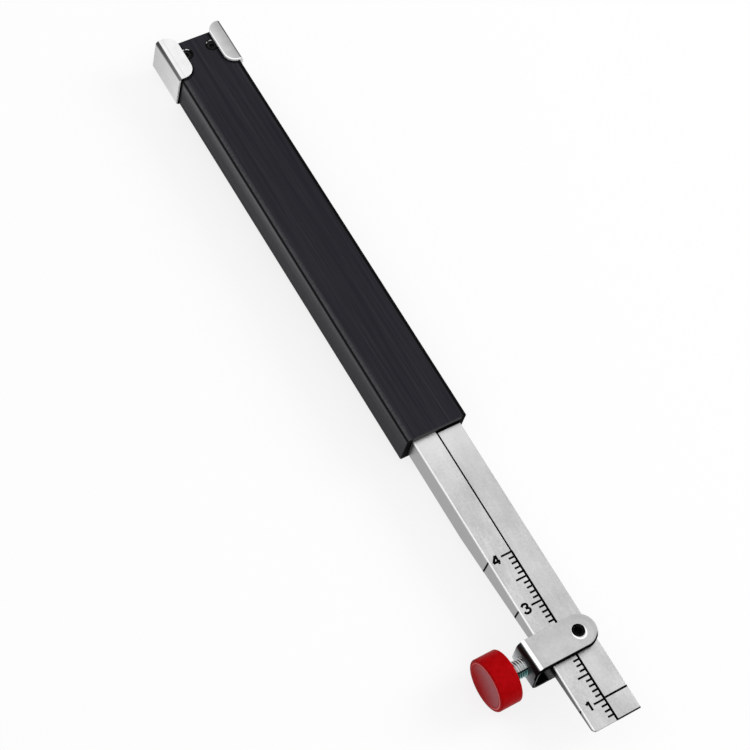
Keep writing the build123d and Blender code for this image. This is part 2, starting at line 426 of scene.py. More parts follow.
def bar_painted_shade(nodes):
    """Painted shade: black in the seam, wider along the scale, on the sliding bar's tip and in the sleeve's
    mouth.
    """
    x = nodes.along("X")
    y = nodes.along("Y")
    over_seam = (scale_high.x, slide_low.x)
    soft = 0.01 * MM
    seam = nodes.between(x, scale_high.x + 0.02 * MM, slide_low.x + 0.07 * MM, soft)
    beside_scale = nodes.between(x, scale_high.x - 0.12 * MM, slide_low.x + 0.13 * MM, soft)
    on_scale = nodes.remap(y, last_mark_y + 0.2 * MM, last_mark_y + 0.18 * MM)
    deepest = nodes.remap(x, scale_high.x + 0.05 * MM, slide_low.x - 0.05 * MM,
                          scale_high.z - 0.15 * MM, slide_high.z - MM)
    near_front = nodes.remap(nodes.minus(deepest, nodes.along("Z")), 0.05 * MM, 0.0)
    in_seam = nodes.both(nodes.most(seam, nodes.both(beside_scale, on_scale)), near_front)
    tip = nodes.both(nodes.faces("Y", TIPWARD), nodes.remap(x, *over_seam))
    under_wall = nodes.remap(x, *over_seam, sleeve_low.y, sleeve_low.y - MOUTH_SLANT * MM)
    inside = nodes.remap(nodes.minus(y, under_wall), -0.02 * MM, 0.02 * MM)
    fading, full = MOUTH_PAINTED_SHADE
    in_mouth = nodes.both(inside, nodes.remap(y, sleeve_low.y + fading * MM, sleeve_low.y + full * MM))
    return nodes.most(in_seam, tip, in_mouth)


def foot_material():
    """Polished stainless sheet with cut edges painted as highlight and shadow, and painted shade in the
    folds.
    """
    material, nodes, shader = principled("foot_steel", 0.0)
    mottle = nodes.noise(even(1500.0), detail=4.0, roughness=0.6)
    grain = nodes.noise((7000.0, 400.0, 7000.0), detail=3.0)
    clouds = nodes.noise(even(420.0), detail=2.0)
    shade = nodes.layers((mottle, 0.15), (grain, 0.15), (clouds, 0.7))
    white, black = foot_edges(nodes)
    base = nodes.mix(white, foot_shades(nodes, shade), STEEL_WHITE)
    nodes.dress(shader, {
        "Base Color": nodes.mix(black, base, STEEL_BLACK),
        "Metallic": nodes.without(nodes.most(white, black)),
        "Roughness": nodes.remap(shade, 0.2, 0.8, 0.24, 0.34),
        "Normal": nodes.bump(grain, 0.04, 0.06 * MM),
    })
    return material


def on_right_foot(nodes):
    return nodes.remap(nodes.along("X"), sleeve_middle.x - MM, sleeve_middle.x + MM)


def foot_shades(nodes, shade):
    """Painted light and shade: the left foot is brighter, its side darkens towards the end, and both folds
    are dark.
    """
    x = nodes.along("X")
    across = nodes.remap(x, right_foot_low.x, right_foot_high.x - 0.6 * MM)
    inner = nodes.greys(shade, *RIGHT_TAB_INNER)
    right_tab = nodes.mix(across, inner, nodes.greys(shade, *RIGHT_TAB_OUTER))
    tab = nodes.mix(on_right_foot(nodes), nodes.greys(shade, *LEFT_TAB), right_tab)
    crease = nodes.between(x, foot_low.x + 1.2 * MM, foot_low.x + 1.3 * MM, 0.16 * MM)
    tab = nodes.mix(nodes.both(crease, 0.35), tab, TAB_CREASE)
    down = nodes.remap(nodes.along("Y"), foot_high.y, foot_low.y)
    side = nodes.mix(down, nodes.greys(shade, *FOOT_SIDE_AT_END), nodes.greys(shade, *FOOT_SIDE_BELOW))
    base = nodes.mix(nodes.faces("Z", (0.35, 0.75)), side, tab)
    folded = nodes.greys(down, *FOOT_FOLDED)
    return nodes.mix(nodes.both(foot_folds(nodes, down), 0.95), base, folded)


def foot_folds(nodes, down):
    """Mask of the painted shade in the feet's front folds and, towards the end, on the side just behind
    them.
    """
    turned = nodes.unsigned(nodes.facing("X"))
    fold = nodes.both(nodes.between(turned, 0.45, 0.92, 0.08), nodes.faces("Z", (0.1, 0.3)))
    under_fold = nodes.remap(nodes.along("Z"), foot_high.z - 0.95 * MM, foot_high.z - 0.75 * MM)
    towards_end = nodes.both(nodes.remap(turned, 0.9, 0.97), nodes.remap(down, 0.8, 0.0))
    return nodes.most(fold, nodes.both(under_fold, towards_end))


def foot_edges(nodes):
    """Masks of the white painted highlight and the black painted shadow on the sheet's cut edges."""
    x = nodes.along("X")
    on_right = on_right_foot(nodes)
    cut_end = nodes.remap(nodes.unsigned(nodes.facing("Y")), 0.75, 0.9)
    flank = nodes.between(x, foot_low.x - MM, foot_low.x + FLANK_EDGE * MM, 0.02 * MM)
    outer = nodes.remap(x, foot_low.x + 0.36 * MM, foot_low.x + 0.30 * MM)
    inward = nodes.both(on_right, nodes.faces("X", (-0.2, -0.4)))
    tab_edge = nodes.both(nodes.remap(nodes.unsigned(nodes.facing("Z")), 0.5, 0.3),
                          nodes.most(inward, nodes.both(on_right, cut_end)))
    away = from_tab_core(nodes, right_foot_low.x + TAB_CORNER * MM, right_foot_low.y, -1.0)
    rim = nodes.both(nodes.both(on_right, nodes.faces("Z", FRONTWARD)),
                     nodes.remap(away, (TAB_CORNER - 0.26) * MM, (TAB_CORNER - 0.16) * MM))
    white = nodes.most(nodes.both(cut_end, outer), tab_edge, rim)
    black = nodes.both(nodes.both(cut_end, flank), nodes.without(outer))
    return white, black


def from_tab_core(nodes, corner_x, low_y, sign):
    """How far a point lies from the part of a foot's tab that its corner is rounded about."""
    return nodes.length(nodes.beyond("X", corner_x, sign), nodes.beyond("Y", low_y + TAB_CORNER * MM, -1.0))


def clip_material():
    """Satin steel strip: a painted highlight along the front fold, painted shade on cut edges, inside and
    web.
    """
    material, nodes, shader = principled("clip_steel", 0.0)
    mottle = nodes.noise(even(2200.0), detail=3.0, roughness=0.6)
    clouds = nodes.noise(even(300.0), detail=3.0)
    shade = nodes.layers((mottle, 0.35), (clouds, 0.65))
    away = nodes.minus(nodes.along("Z"), clip_middle.z)
    lean = nodes.minus(nodes.along("Y"), clip_middle.y)
    depth = nodes.plus(away, nodes.both(lean, CLIP_LEAN))
    across = nodes.minus(lean, nodes.both(away, CLIP_LEAN))
    web = nodes.faces("X", (-0.55, -0.68))
    base = nodes.mix(web, clip_front(nodes, shade), clip_web(nodes, shade, depth))
    low_edge = clip_low_edge(nodes, across, depth)
    black = nodes.most(clip_inside(nodes, depth), clip_cut_edges(nodes), low_edge)
    fold_line = nodes.both(clip_fold_edge(nodes, depth), 0.8)
    nodes.dress(shader, {
        "Base Color": nodes.mix(fold_line, nodes.mix(black, base, STEEL_BLACK), CLIP_FOLD_LINE),
        "Metallic": nodes.without(nodes.most(black, nodes.both(web, 0.3))),
        "Roughness": nodes.remap(shade, 0.2, 0.8, 0.27, 0.36),
        "Normal": nodes.bump(mottle, 0.1, 0.08 * MM),
    })
    return material


def clip_front(nodes, shade):
    """The flat leg, with painted shade towards its round end and painted highlights at the hole and the
    fold.
    """
    radius = nodes.distance("XY", pin_middle)
    end = (clip_high.y - clip_low.y) / 2
    dull = nodes.both(nodes.between(radius, end - 0.75 * MM, end - 0.5 * MM, 0.4 * MM),
                      nodes.remap(nodes.along("X"), pin_middle.x, pin_middle.x + MM))
    ring = nodes.both(nodes.between(radius, pin_radius - 0.1 * MM, pin_radius + 0.14 * MM, 0.06 * MM),
                      nodes.faces("Z", FRONTWARD))
    bright = nodes.both(nodes.between(nodes.facing("X"), -0.5, -0.28, 0.08), nodes.faces("Z", (0.2, 0.5)))
    flat = nodes.mix(nodes.both(dull, 0.5), nodes.greys(shade, *CLIP_FLAT), STEEL_DULL)
    flat = nodes.mix(ring, flat, STEEL_WHITE)
    return nodes.mix(bright, flat, CLIP_BRIGHT_FOLD)


def clip_web(nodes, shade, depth):
    """The web's outside, painted reflection and shade: black behind the front fold, greyer to the back and
    top.
    """
    back = nodes.remap(depth, 2.5 * MM, -2.0 * MM)
    dark = nodes.mix(back, WEB_FRONT_LOW, nodes.mix(shade, *WEB_LOW))
    light = nodes.mix(back, WEB_FRONT_HIGH, nodes.mix(shade, *WEB_HIGH))
    return nodes.mix(nodes.remap(nodes.along("Y"), clip_low.y, clip_high.y), dark, light)


def clip_inside(nodes, depth):
    """Mask of the shaded space between the web and the scale bar."""
    half_inside = (clip_high.z - clip_low.z) / 2 - (CLIP_WIDTH / 2 * CLIP_LEAN + CLIP_SHEET) * MM
    between_legs = nodes.remap(nodes.unsigned(depth), half_inside + 0.1 * MM, half_inside + 0.05 * MM)
    x = nodes.along("X")
    behind_web = nodes.both(nodes.remap(x, clip_low.x + 0.7 * MM, clip_low.x + 0.75 * MM),
                            nodes.remap(x, scale_low.x + MM, scale_low.x))
    return nodes.both(between_legs, behind_web)


def clip_cut_edges(nodes):
    """Mask of painted shade on the sheared edges, those that face the tips."""
    sideways = nodes.remap(nodes.unsigned(nodes.facing("Z")), 0.5, 0.3)
    past_folds = nodes.remap(nodes.along("X"), clip_low.x + 2.0 * MM, clip_low.x + 2.2 * MM)
    leg_edges = nodes.both(nodes.both(sideways, past_folds), nodes.faces("Y", (0.0, -0.2)))
    return nodes.most(leg_edges, nodes.faces("Y", SHEARED))


def clip_low_edge(nodes, across, depth):
    """Mask of the painted shadow along the front leg's lower edge, round to its end."""
    past = nodes.beyond("X", clip_high.x - CLIP_WIDTH / 2 * MM, 1.0)
    edge = nodes.remap(nodes.length(past, across), (CLIP_WIDTH / 2 - 0.3) * MM, (CLIP_WIDTH / 2 - 0.2) * MM)
    lower = nodes.remap(across, -1.3 * MM, -2.3 * MM)
    return nodes.both(nodes.both(edge, lower), nodes.remap(depth, 0.0, 0.5 * MM))


def clip_fold_edge(nodes, depth):
    """A painted highlight line along the sheared edge of the web, its folds and the back leg."""
    bend = (CLIP_FOLD + CLIP_SHEET) * MM
    half_outside = (clip_high.z - clip_low.z) / 2 - CLIP_WIDTH / 2 * MM * CLIP_LEAN
    before = nodes.beyond("X", clip_low.x + bend, -1.0)
    past = nodes.most(nodes.minus(nodes.unsigned(depth), half_outside - bend), 0.0)
    line = nodes.between(nodes.length(before, past), bend - 0.46 * MM, bend - 0.34 * MM, 0.1 * MM)
    behind = nodes.remap(depth, 2.9 * MM, 2.2 * MM)
    return nodes.both(nodes.both(nodes.faces("Y", SHEARED), line), behind)


def anodised_material():
    """Black anodised aluminium with drawing lines along the tube, a painted sheen on the left side and dull
    ends.
    """
    material, nodes, shader = principled("anodised", 0.04)
    lines = nodes.noise((5200.0, 50.0, 5200.0), detail=4.0, roughness=0.65)
    bands = nodes.noise((900.0, 12.0, 900.0), detail=2.0)
    dust = nodes.noise(even(2500.0), detail=2.0)
    streaks = nodes.both(nodes.remap(lines, 0.35, 0.75), nodes.remap(bands, *USUAL, 0.3, 1.0))
    left_part = nodes.remap(nodes.along("X"), sleeve_middle.x + MM, sleeve_middle.x)
    # Wear on the edges, with painted glints on it
    wear_and_glint = nodes.both(nodes.edge_mask(0.15 * MM), nodes.remap(dust, 0.4, 0.65, 0.1, 0.8))
    # The end faces: painted light on the front wall's end, painted black shade elsewhere
    wall_end = nodes.greys(front_wall_end(nodes), *WALL_END)
    base = nodes.mix(streaks, *ANODISED)
    base = nodes.mix(sleeve_side_sheen(nodes, lines), base, ANODISED_SIDE_SHEEN)
    base = nodes.mix(nodes.both(wear_and_glint, left_part), base, ANODISED_EDGE_WEAR_GLINT)
    base = nodes.mix(beside_left_corner(nodes, dust), base, ANODISED_STRIP)
    base = nodes.mix(nodes.faces("Y", TIPWARD), base, wall_end)
    base = nodes.mix(sleeve_painted_shade(nodes), base, ANODISED_BLACK)
    dull_end = nodes.remap(nodes.unsigned(nodes.facing("Y")), *FRONTWARD, 0.0, 0.45)
    nodes.dress(shader, {
        "Base Color": nodes.mix(screw_hole_glints(nodes, dust), base, SCREW_HOLE_LIGHT),
        "Roughness": nodes.plus(nodes.remap(lines, *USUAL, 0.36, 0.5), dull_end),
        "Normal": nodes.bump(lines, 0.35, 0.1 * MM, depth=0.006 * MM),
    })
    return material


def front_wall_end(nodes):
    """Mask of the painted light on the front wall's end face, thinner above the sliding bar."""
    x = nodes.along("X")
    pale_depth = nodes.remap(x, scale_high.x, slide_low.x, WALL_END_BY_SCALE * MM, WALL_END_BY_SLIDE * MM)
    depth = nodes.minus(sleeve_high.z, nodes.along("Z"))
    pale = nodes.remap(nodes.minus(depth, pale_depth), 0.04 * MM, -0.04 * MM)
    return nodes.both(pale, nodes.between(x, scale_low.x, slide_high.x + 0.1 * MM, 0.2 * MM))


def beside_left_corner(nodes, dust):
    """Mask of a lighter, patchy strip on the front, just beside its left corner."""
    across = nodes.minus(nodes.along("X"), sleeve_low.x)
    strip = nodes.both(nodes.remap(across, 0.2 * MM, 0.35 * MM), nodes.remap(across, 1.3 * MM, 0.6 * MM))
    patchy = nodes.remap(dust, 0.35, 0.6, 0.55, 1.0)
    return nodes.both(nodes.both(strip, patchy), nodes.faces("Z", FRONTWARD))


def left_corner_line(nodes):
    """Mask of the dark line along the front's left corner."""
    across = nodes.minus(nodes.along("X"), sleeve_low.x)
    below = nodes.minus(sleeve_high.z, nodes.along("Z"))
    return nodes.remap(nodes.plus(across, below), 0.34 * MM, 0.2 * MM)


def sleeve_side_sheen(nodes, lines):
    """Mask of the painted sheen on the left side's upper part, streaked along the tube and fading to the
    mouth.
    """
    depth = nodes.minus(nodes.along("Z"), sleeve_high.z)
    below_corner = nodes.remap(depth, -0.35 * MM, -0.6 * MM)
    upper = nodes.both(nodes.remap(depth, -4.6 * MM, -1.6 * MM, 0.0, 0.5), below_corner)
    bright = nodes.both(nodes.between(depth, -1.3 * MM, -0.75 * MM, 0.3 * MM), 0.85)
    faint = nodes.both(nodes.remap(depth, -6.6 * MM, -5.4 * MM), 0.1)
    rising = nodes.remap(nodes.along("Y"), sleeve_low.y, sleeve_low.y + STREAKS_RISE * MM, 0.3, 1.0)
    streaked = nodes.both(nodes.remap(lines, 0.35, 0.6, 0.3, 1.0), rising)
    left_face = nodes.faces("X", (-0.7, -0.9))
    return nodes.both(left_face, nodes.both(nodes.most(upper, bright, faint), streaked))


def sleeve_painted_shade(nodes):
    """Mask of the painted deep black shade: by the feet, round the set screws and along two edges."""
    front = nodes.faces("Z", FRONTWARD)
    near_front = nodes.remap(nodes.along("Z"), sleeve_high.z - 0.8 * MM, sleeve_high.z - 0.6 * MM)
    at_right = nodes.remap(nodes.along("X"), sleeve_high.x - 0.9 * MM, sleeve_high.x - 0.6 * MM)
    by_left_tab = beside_tab(nodes, foot_high.x - TAB_CORNER * MM, foot_low.y, 1.0)
    by_right_tab = beside_tab(nodes, right_foot_low.x + TAB_CORNER * MM, right_foot_low.y, -1.0)
    by_flank = nodes.both(nodes.remap(nodes.along("Y"), foot_low.y - 0.7 * MM, foot_low.y - 0.5 * MM),
                          nodes.faces("X", (-0.5, -0.8)))
    by_tabs = nodes.both(front, nodes.most(by_left_tab, by_right_tab))
    rings = nodes.both(front, screw_hole_rings(nodes, *SCREW_HOLE_BLACK))
    right_edge = nodes.both(near_front, at_right)
    return nodes.both(nodes.most(right_edge, left_corner_line(nodes), by_tabs, by_flank, rings), 0.95)


def beside_tab(nodes, corner_x, low_y, sign):
    """Mask of the strip that a foot's tab shades, round its corner. The sign is the tab's free side."""
    away = from_tab_core(nodes, corner_x, low_y, sign)
    fading, full = TAB_SHADE
    return nodes.remap(away, (TAB_CORNER + fading) * MM, (TAB_CORNER + full) * MM)


def screw_hole_rings(nodes, inner, outer):
    """Mask of rings round the set screws, from inner to outer millimetres off their edges."""
    rings = []
    for name in SET_SCREWS:
        low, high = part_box(name)
        edge = (high.x - low.x) / 2
        radius = nodes.distance("XY", (low + high) / 2)
        rings.append(nodes.between(radius, edge + inner * MM, edge + outer * MM, 0.06 * MM))
    return nodes.most(*rings)


def screw_hole_glints(nodes, dust):
    """Mask of the light on the upper rims of the two screw holes."""
    low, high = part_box(SET_SCREWS[0])
    middle_y = (low.y + high.y) / 2
    above = nodes.remap(nodes.along("Y"), middle_y + 0.5 * MM, middle_y + 0.8 * MM)
    patchy = nodes.both(nodes.remap(dust, 0.42, 0.52), nodes.faces("Z", (0.1, 0.3)))
    return nodes.both(nodes.both(screw_hole_rings(nodes, *SCREW_HOLE_GLINT), above), patchy)


def black_steel_material(name, shades):
    """Oiled black steel with a little wear at its edges and painted glints there."""
    material, nodes, shader = principled(name, 0.03)
    mottle = nodes.noise(even(4000.0), detail=3.0)
    base = nodes.greys(nodes.tint(mottle), *shades)
    wear_and_glint = nodes.both(nodes.edge_mask(0.05 * MM), nodes.remap(mottle, 0.45, 0.6, 0.0, 0.35))
    nodes.dress(shader, {
        "Base Color": nodes.mix(wear_and_glint, base, BLACK_STEEL_WEAR_GLINT),
        "Roughness": nodes.remap(mottle, *USUAL, 0.4, 0.6),
        "Normal": nodes.bump(mottle, 0.2, 0.05 * MM),
    })
    return material


def zinc_material():
    """Zinc plating: painted white highlight above, blue-green reflection below, and painted shade in a band
    and the roots.
    """
    material, nodes, shader = principled("zinc", 0.1)
    mottle = nodes.noise(even(2500.0), detail=4.0)
    tint = nodes.tint(mottle)
    across = nodes.minus(nodes.along("Y"), screw_middle.y)
    height = nodes.minus(nodes.along("Z"), screw_middle.z)
    rise = nodes.plus(nodes.both(across, 0.95 / screw_crest), nodes.both(height, 0.31 / screw_crest))
    lower_part = (-0.25, -0.35)
    lower = nodes.remap(rise, *lower_part)
    lit_and_reflected = nodes.mix(lower, nodes.mix(tint, *ZINC_HIGHLIGHT), nodes.mix(tint, *ZINC_TEAL_REFLECTION))
    root = nodes.remap(nodes.distance("YZ", screw_middle), screw_crest - 0.10 * MM, screw_crest - 0.17 * MM)
    upper_depth = nodes.remap(rise, 0.3, 0.65, 0.2, 1.0)
    root_depth = nodes.most(upper_depth, nodes.remap(rise, -0.3, -0.5, 0.35, 0.7))
    dark = nodes.most(nodes.between(rise, -0.34, -0.2, 0.05), nodes.both(root, root_depth))
    nodes.dress(shader, {
        "Base Color": nodes.mix(dark, lit_and_reflected, ZINC_ROOT_SHADE),
        "Metallic": nodes.both(nodes.remap(rise, *lower_part, 0.15, 0.8), nodes.without(dark)),
        "Roughness": nodes.remap(mottle, *USUAL, 0.2, 0.32),
        "Normal": nodes.bump(mottle, 0.15, 0.02 * MM, depth=0.003 * MM),
    })
    return material


def red_plastic_material():
    """Red plastic, with scuffs and a painted pinkish sheen over the dished face and a painted highlight on
    the rim.
    """
    material, nodes, shader = principled("red_plastic", 0.015)
    mottle = nodes.noise(even(900.0), detail=4.0)
    scuffs = nodes.noise(even(5200.0), detail=3.0, roughness=0.7)
    radius = nodes.distance("YZ", knob_middle)
    rim = knob_radius - KNOB_RIM * MM
    on_face = nodes.remap(nodes.along("X"), knob_low.x + 0.6 * MM, knob_low.x + 0.5 * MM)
    across = nodes.minus(nodes.along("Y"), knob_middle.y)
    height = nodes.minus(nodes.along("Z"), knob_middle.z)
    rightward = nodes.plus(nodes.both(height, 0.87), nodes.both(across, -0.5))
    lift = nodes.remap(rightward, -0.75 * rim, 0.35 * rim, 0.05, 1.0)
    shaded_edge = nodes.both(knob_edges(nodes), nodes.remap(rightward, 0.2 * rim, -0.3 * rim, 0.0, 0.8))
    dish = nodes.both(on_face, nodes.remap(radius, rim, rim - 0.5 * MM))
    scuffs_and_sheen = nodes.both(dish, nodes.both(lift, nodes.remap(scuffs, *USUAL, 0.5, 1.0)))
    ring = nodes.both(on_face, nodes.between(radius, rim, rim + 0.1 * MM, 0.07 * MM))
    base = nodes.mix(nodes.tint(mottle), *RED)
    base = nodes.mix(shaded_edge, base, RED_SHADED)
    base = nodes.mix(scuffs_and_sheen, base, RED_SCUFF_AND_SHEEN)
    nodes.dress(shader, {
        "Base Color": nodes.mix(nodes.both(ring, nodes.both(lift, 0.9)), base, RED_RIM_HIGHLIGHT),
        "Roughness": nodes.remap(scuffs, *USUAL, 0.26, 0.42),
        "Normal": nodes.bump(scuffs, 0.1, 0.08 * MM, depth=0.005 * MM),
    })
    return material


def knob_edges(nodes):
    """Mask of the knob's two rounded outer edges."""
    radius = nodes.distance("YZ", knob_middle)
    outermost = nodes.remap(radius, knob_radius - 0.35 * MM, knob_radius - 0.2 * MM)
    x = nodes.along("X")
    outer = nodes.remap(x, knob_low.x + 0.3 * MM, knob_low.x + 0.12 * MM)
    inner = nodes.remap(x, knob_high.x - 0.3 * MM, knob_high.x - 0.12 * MM)
    return nodes.both(outermost, nodes.most(outer, inner))


def ink_material():
    """Black filling of the engraved marks."""
    material, nodes, shader = principled("ink", 0.02)
    grain = nodes.noise(even(8000.0), detail=2.0)
    nodes.dress(shader, {
        "Base Color": nodes.mix(nodes.tint(grain), *INK),
        "Roughness": nodes.remap(grain, *USUAL, 0.6, 0.8),
    })
    return material


steel = bar_material()
foot_steel = foot_material()
anodised = anodised_material()
pin_steel = black_steel_material("pin_steel", PIN_STEEL)
screw_steel = black_steel_material("screw_steel", SCREW_STEEL)
zinc = zinc_material()
red_plastic = red_plastic_material()
ink = ink_material()

NODE_MATERIALS = {
    "sleeve": anodised,
    "scale_bar": steel,
    "sliding_bar": steel,
    "left_foot": foot_steel,
    "right_foot": foot_steel,
    "left_foot_lug": foot_steel,
    "right_foot_lug": foot_steel,
    "left_set_screw": screw_steel,
    "right_stop_screw": screw_steel,
    "clamp_clip": clip_material(),
    "clip_pin": pin_steel,
    "thumb_screw": zinc,
    "thumb_knob": red_plastic,
}
for name, material in NODE_MATERIALS.items():
    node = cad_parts[name]
    node.data.materials.clear()
    node.data.materials.append(material)


# Pieces that the solids leave plain

def add_piece(name, mesh, material, body):
    mesh.materials.clear()
    mesh.materials.append(material)
    piece = bpy.data.objects.new(name, mesh)
    bpy.context.scene.collection.objects.link(piece)
    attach(piece, body)
    return piece


# Points nearer to each other than this, in millimetres, become one
MERGED = 0.0005


def ring_mesh(name, rows):
    """A closed surface through rings of points, each ring closed, with one face over each end."""
    mesh = bpy.data.meshes.new(name)
    work = bmesh.new()
    rings = [[work.verts.new(point) for point in row] for row in rows]
    count = len(rings[0])
    for ring, following in zip(rings, rings[1:]):
        for i in range(count):
            j = (i + 1) % count
            work.faces.new((ring[i], ring[j], following[j], following[i]))
    work.faces.new(reversed(rings[0]))
    work.faces.new(rings[-1])
    bmesh.ops.remove_doubles(work, verts=work.verts, dist=MERGED * MM)
    bmesh.ops.recalc_face_normals(work, faces=work.faces)
    for face in work.faces:
        face.smooth = True
    work.to_mesh(mesh)
    work.free()
    return mesh


def boxes_mesh(name, boxes):
    """One mesh of several boxes, each a pair of corners."""
    mesh = bpy.data.meshes.new(name)
    work = bmesh.new()
    for low, high in boxes:
        size = [b - a for a, b in zip(low, high)]
        centre = [(a + b) / 2 for a, b in zip(low, high)]
        place = Matrix.Translation(centre) @ Matrix.Diagonal((*size, 1.0))
        bmesh.ops.create_cube(work, size=1.0, matrix=place)
    work.to_mesh(mesh)
    work.free()
    return mesh


# Marks: ink in the engraved lines. The sizes are those of the engraving.
LINE_WIDTH = 0.38
SHORT_MARK = 1.15
LONG_MARK = 2.15
WEDGE_SLOPE = 0.1
INK_DEPTH = 0.045
INK_RISE = 0.004
INK_EDGE_GAP = 0.05
SIDE_INK_TOP_GAP = 0.1
SIDE_INK_LOW_GAP = 0.02
TIP_INK_GAP = 0.01


def ink_box(low_x, high_x, low_y, high_y, face_z):
    return (low_x, low_y, face_z - INK_DEPTH * MM), (high_x, high_y, face_z + INK_RISE * MM)


def add_scale_ink():
    half = LINE_WIDTH / 2 * MM
    right = scale_high.x
    boxes = []
    for number in range(FIRST_MARK, LAST_MARK + 1):
        y = zero_y + number * MM
        length = SHORT_MARK if number % LONG_MARK_EVERY else LONG_MARK
        low_x = right - length * MM
        high_x = right - INK_EDGE_GAP * MM
        boxes.append(ink_box(low_x, high_x, y - half, y + half, scale_high.z))
        if number % FIGURE_EVERY == 0:
            boxes.append(side_ink(y, half, number))
    add_piece("scale_ink", boxes_mesh("scale_ink", boxes), ink, "handle")


def side_ink(y, half, number):
    """The mark down the bar's side, as deep as the wedge is thick there."""
    left = scale_low.x
    low_z = scale_high.z - (number * WEDGE_SLOPE - SIDE_INK_LOW_GAP) * MM
    low = (left - INK_RISE * MM, y - half, low_z)
    high = (left + INK_DEPTH * MM, y + half, scale_high.z - SIDE_INK_TOP_GAP * MM)
    return low, high


def add_index_ink():
    half = LINE_WIDTH / 2 * MM
    left = slide_low.x + INK_EDGE_GAP * MM
    right = slide_high.x - INK_EDGE_GAP * MM
    y = zero_y + INDEX_READING * MM
    edge = slide_low.y + TIP_INK_GAP * MM
    lines = [
        ink_box(left, right, y - half, y + half, slide_high.z),
        ink_box(left, right, edge, edge + half, slide_high.z),
    ]
    add_piece("index_ink", boxes_mesh("index_ink", lines), ink, "slider")


# Figures, each a set of strokes in millimetres about its middle. True marks a curved stroke.
FIGURES = {
    1: [(False, [(0.35, 0.86), (0.35, -0.86)]), (True, [(0.35, 0.84), (0.12, 0.58), (-0.22, 0.40)])],
    2: [
        (True, [(-0.58, 0.42), (-0.38, 0.76), (0.0, 0.86), (0.42, 0.72), (0.50, 0.38), (0.22, -0.08),
                (-0.30, -0.50), (-0.58, -0.84)]),
        (False, [(-0.60, -0.86), (0.60, -0.86)]),
    ],
    3: [
        (True, [(-0.60, 0.50), (-0.36, 0.79), (0.02, 0.86), (0.38, 0.72), (0.46, 0.42), (0.28, 0.14),
                (-0.08, 0.05)]),
        (True, [(-0.08, 0.05), (0.36, -0.04), (0.60, -0.40), (0.42, -0.73), (0.0, -0.86), (-0.42, -0.76),
                (-0.64, -0.44)]),
    ],
    4: [(False, [(0.28, 0.86), (0.28, -0.88)]), (False, [(-0.72, -0.36), (0.64, -0.36)]),
        (False, [(0.24, 0.86), (-0.70, -0.34)])],
}
# Each figure's middle: how far it lies from the seam along X, and its reading on the scale
FIGURE_PLACES = {1: (-3.20, 10.05), 2: (-3.30, 19.95), 3: (-3.30, 29.87), 4: (-3.30, 39.8)}
STROKE_WIDTH = 0.45
STROKE_ROUNDNESS = 3
FIGURE_HEIGHT = 0.012


def stroke_curve(name, strokes):
    curve = bpy.data.curves.new(name, "CURVE")
    curve.dimensions = "3D"
    curve.bevel_depth = STROKE_WIDTH / 2 * MM
    curve.bevel_resolution = STROKE_ROUNDNESS
    curve.use_fill_caps = True
    for bent, points in strokes:
        handle = "AUTO" if bent else "VECTOR"
        spline = curve.splines.new("BEZIER")
        spline.bezier_points.add(len(points) - 1)
        for knot, (x, y) in zip(spline.bezier_points, points):
            knot.co = (x * MM, y * MM, 0)
            knot.handle_left_type = handle
            knot.handle_right_type = handle
    return curve


def add_figure(number):
    name = f"figure_{number}"
    curve = stroke_curve(name, FIGURES[number])
    holder = bpy.data.objects.new(name + "_line", curve)
    bpy.context.scene.collection.objects.link(holder)
    bpy.context.view_layer.update()
    mesh = bpy.data.meshes.new_from_object(holder)
    bpy.data.objects.remove(holder)
    x, reading = FIGURE_PLACES[number]
    place = Vector((scale_high.x + x * MM, zero_y + reading * MM, scale_high.z))
    flatten = Matrix.Diagonal((1, 1, FIGURE_HEIGHT / (STROKE_WIDTH / 2), 1))
    mesh.transform(Matrix.Translation(place) @ flatten)
    add_piece(name, mesh, ink, "handle")


# Thumb screw with its thread, and the knob

THREAD_PITCH = 0.5
THREAD_DEPTH = 0.29
THREAD_SIDES = 48
THREAD_STEPS = 8
THREAD_BEVEL = 0.4
# Height of the thread at each share of the pitch: a flat crest, two flanks and a rounded root
THREAD_PROFILE = [(0.0, 1.0), (0.125, 1.0), (0.5, 0.05), (0.5625, 0.0), (0.625, 0.05), (1.0, 1.0)]


def thread_radius(phase):
    for (low, first), (high, second) in zip(THREAD_PROFILE, THREAD_PROFILE[1:]):
        if low <= phase <= high:
            share = first + (second - first) * (phase - low) / (high - low)
            return screw_crest - THREAD_DEPTH * MM * (1 - share)
    return screw_crest


def circle_point(x, middle, radius, turn):
    """A point on a circle round an axis along X. The turn is a share of the whole circle."""
    angle = 2 * math.pi * turn
    return x, middle.y + radius * math.cos(angle), middle.z + radius * math.sin(angle)


def add_thumb_screw():
    low_x = screw_low.x
    high_x = screw_high.x
    pitch = THREAD_PITCH * MM
    step = pitch / THREAD_STEPS
    count = int((high_x - low_x + pitch) / step) + 1
    rows = []
    for i in range(count + 1):
        thread = thread_radius((i % THREAD_STEPS) / THREAD_STEPS)
        row = []
        for k in range(THREAD_SIDES):
            turn = k / THREAD_SIDES
            along = low_x - pitch + (i + turn * THREAD_STEPS) * step
            x = min(max(along, low_x), high_x)
            bevelled = screw_crest - max(0.0, x - high_x + THREAD_BEVEL * MM)
            row.append(circle_point(x, screw_middle, min(thread, bevelled), turn))
        rows.append(row)
    screw = add_piece("screw_thread", ring_mesh("screw_thread", rows), zinc, "screw")
    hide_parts("thumb_screw")


